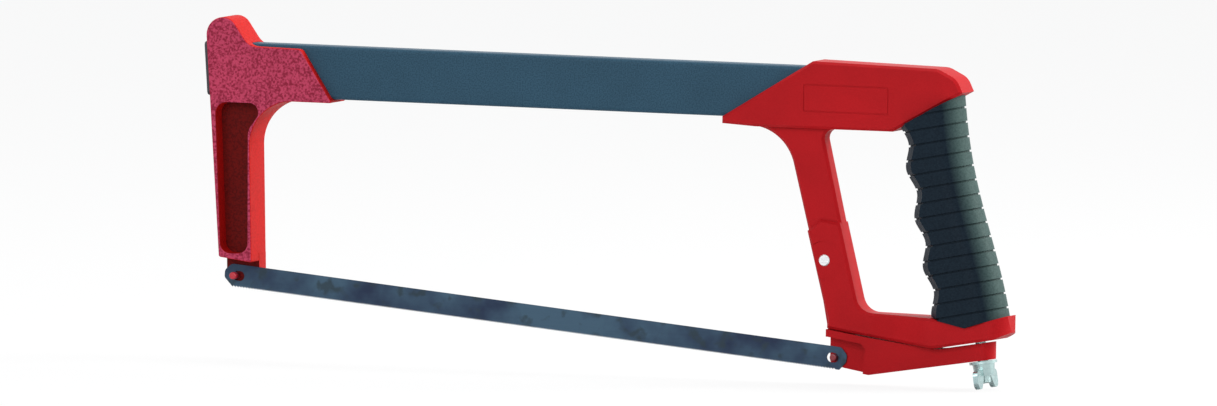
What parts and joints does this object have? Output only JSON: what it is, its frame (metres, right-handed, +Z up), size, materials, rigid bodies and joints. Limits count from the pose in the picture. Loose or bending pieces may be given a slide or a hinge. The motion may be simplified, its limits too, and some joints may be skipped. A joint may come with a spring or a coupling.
{
  "type": "hacksaw",
  "caption": "Hacksaw with a tubular beam, D handle with ribbed grip, and a pivoting tension lever drawn up by a wing nut.",
  "frame": {"origin": "axis of the front blade pin, in the saw's mid-plane", "axes": "+X back along the beam to the handle, +Y across the saw to its far side, +Z up"},
  "size_m": [0.4061, 0.026, 0.1602],
  "materials": {
    "front_paint": "hammered powder coat",
    "beam_paint": "satin powder coat",
    "black_plastic": "moulded",
    "screw_steel": "black oxide",
    "blade_steel": "blued",
    "pin_paint": "satin",
    "handle_paint": "satin powder coat",
    "grip_rubber": "moulded, ribbed",
    "bronze": "machined",
    "bright_steel": "ground",
    "zinc": "bright zinc plate"
  },
  "bodies": {
    "frame": {"front_casting": "front_paint", "beam_tube": "beam_paint", "front_beam_screw": "screw_steel", "rear_beam_screws": "screw_steel", "front_blade_pin": "pin_paint", "handle_frame": "handle_paint", "grip_sleeve": "grip_rubber", "pivot_pin": "bright_steel", "pivot_clip": "screw_steel", "tension_stud": "zinc", "stud_cross_pin": "screw_steel"},
    "end_cap": {"beam_end_cap": "black_plastic"},
    "blade": {"hacksaw_blade": "blade_steel"},
    "lever": {"tension_lever": "handle_paint", "lever_bush": "bronze", "rear_blade_pin": "pin_paint"},
    "washer": {"stud_washer": "zinc"},
    "nut": {"wing_nut": "zinc"}
  },
  "joints": [
    {"name": "washer_travel", "type": "slide", "parent": "frame", "child": "washer", "axis": [0.1564, 0, -0.9877], "range_m": [0, 0.0024]},
    {"name": "wing_nut_spin", "type": "hinge", "parent": "washer", "child": "nut", "pos_m": [0.3753, 0, -0.0253], "axis": [0.1564, 0, -0.9877], "range_deg": [0, 1080]},
    {"name": "lever_tilt", "type": "hinge", "parent": "frame", "child": "lever", "pos_m": [0.297, 0, 0.019], "axis": [0, 1, 0], "range_deg": [0, 1.95]},
    {"name": "blade_lift_off", "type": "slide", "parent": "frame", "child": "blade", "axis": [0, -1, 0], "range_m": [0, 0.014]},
    {"name": "end_cap_pull", "type": "slide", "parent": "frame", "child": "end_cap", "axis": [-1, 0, 0], "range_m": [0, 0.018]}
  ],
  "couplings": [
    {"joint": "washer_travel", "follows": "wing_nut_spin", "m_per_rad": 0.00012732},
    {"joint": "lever_tilt", "follows": "wing_nut_spin", "ratio": 0.0018084}
  ]
}
